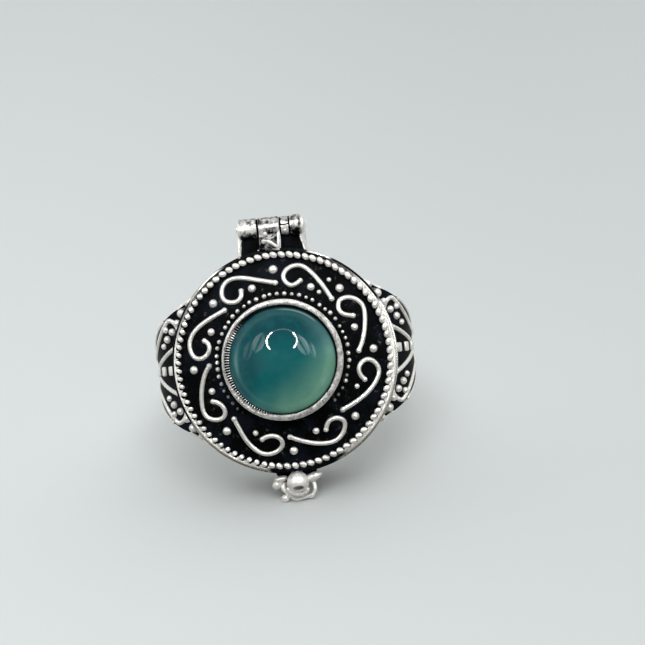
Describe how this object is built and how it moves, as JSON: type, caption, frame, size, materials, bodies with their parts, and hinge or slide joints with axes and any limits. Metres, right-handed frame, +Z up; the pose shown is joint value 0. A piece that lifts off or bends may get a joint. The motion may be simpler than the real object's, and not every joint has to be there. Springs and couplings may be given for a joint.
{
  "type": "poison ring",
  "caption": "Silver-coloured ring with a round box, a hinged lid with scrollwork and a round cabochon, and a ball catch.",
  "frame": {"origin": "on the floor, under the middle of the ring as it lies", "axes": "+X to the right as the lid is seen, -Y the way the lid faces, +Z up towards the hinge"},
  "size_m": [0.0224, 0.0298, 0.0226],
  "materials": {
    "silver": "worn silver, blackened in the recesses",
    "silver_lid": "worn silver, blackened in the recesses",
    "stone": "polished teal-green cabochon",
    "pin": "worn silver",
    "spacer": "worn silver"
  },
  "bodies": {
    "ring": {"ring_body": "silver", "hinge_pin": "pin", "hinge_spacer": "spacer"},
    "lid": {"lid": "silver_lid", "stone": "stone"}
  },
  "joints": [
    {"name": "lid_hinge", "type": "hinge", "parent": "ring", "child": "lid", "pos_m": [0, -0.00574, 0.02173], "axis": [-1, 0, 0], "range_deg": [0, 150]}
  ]
}
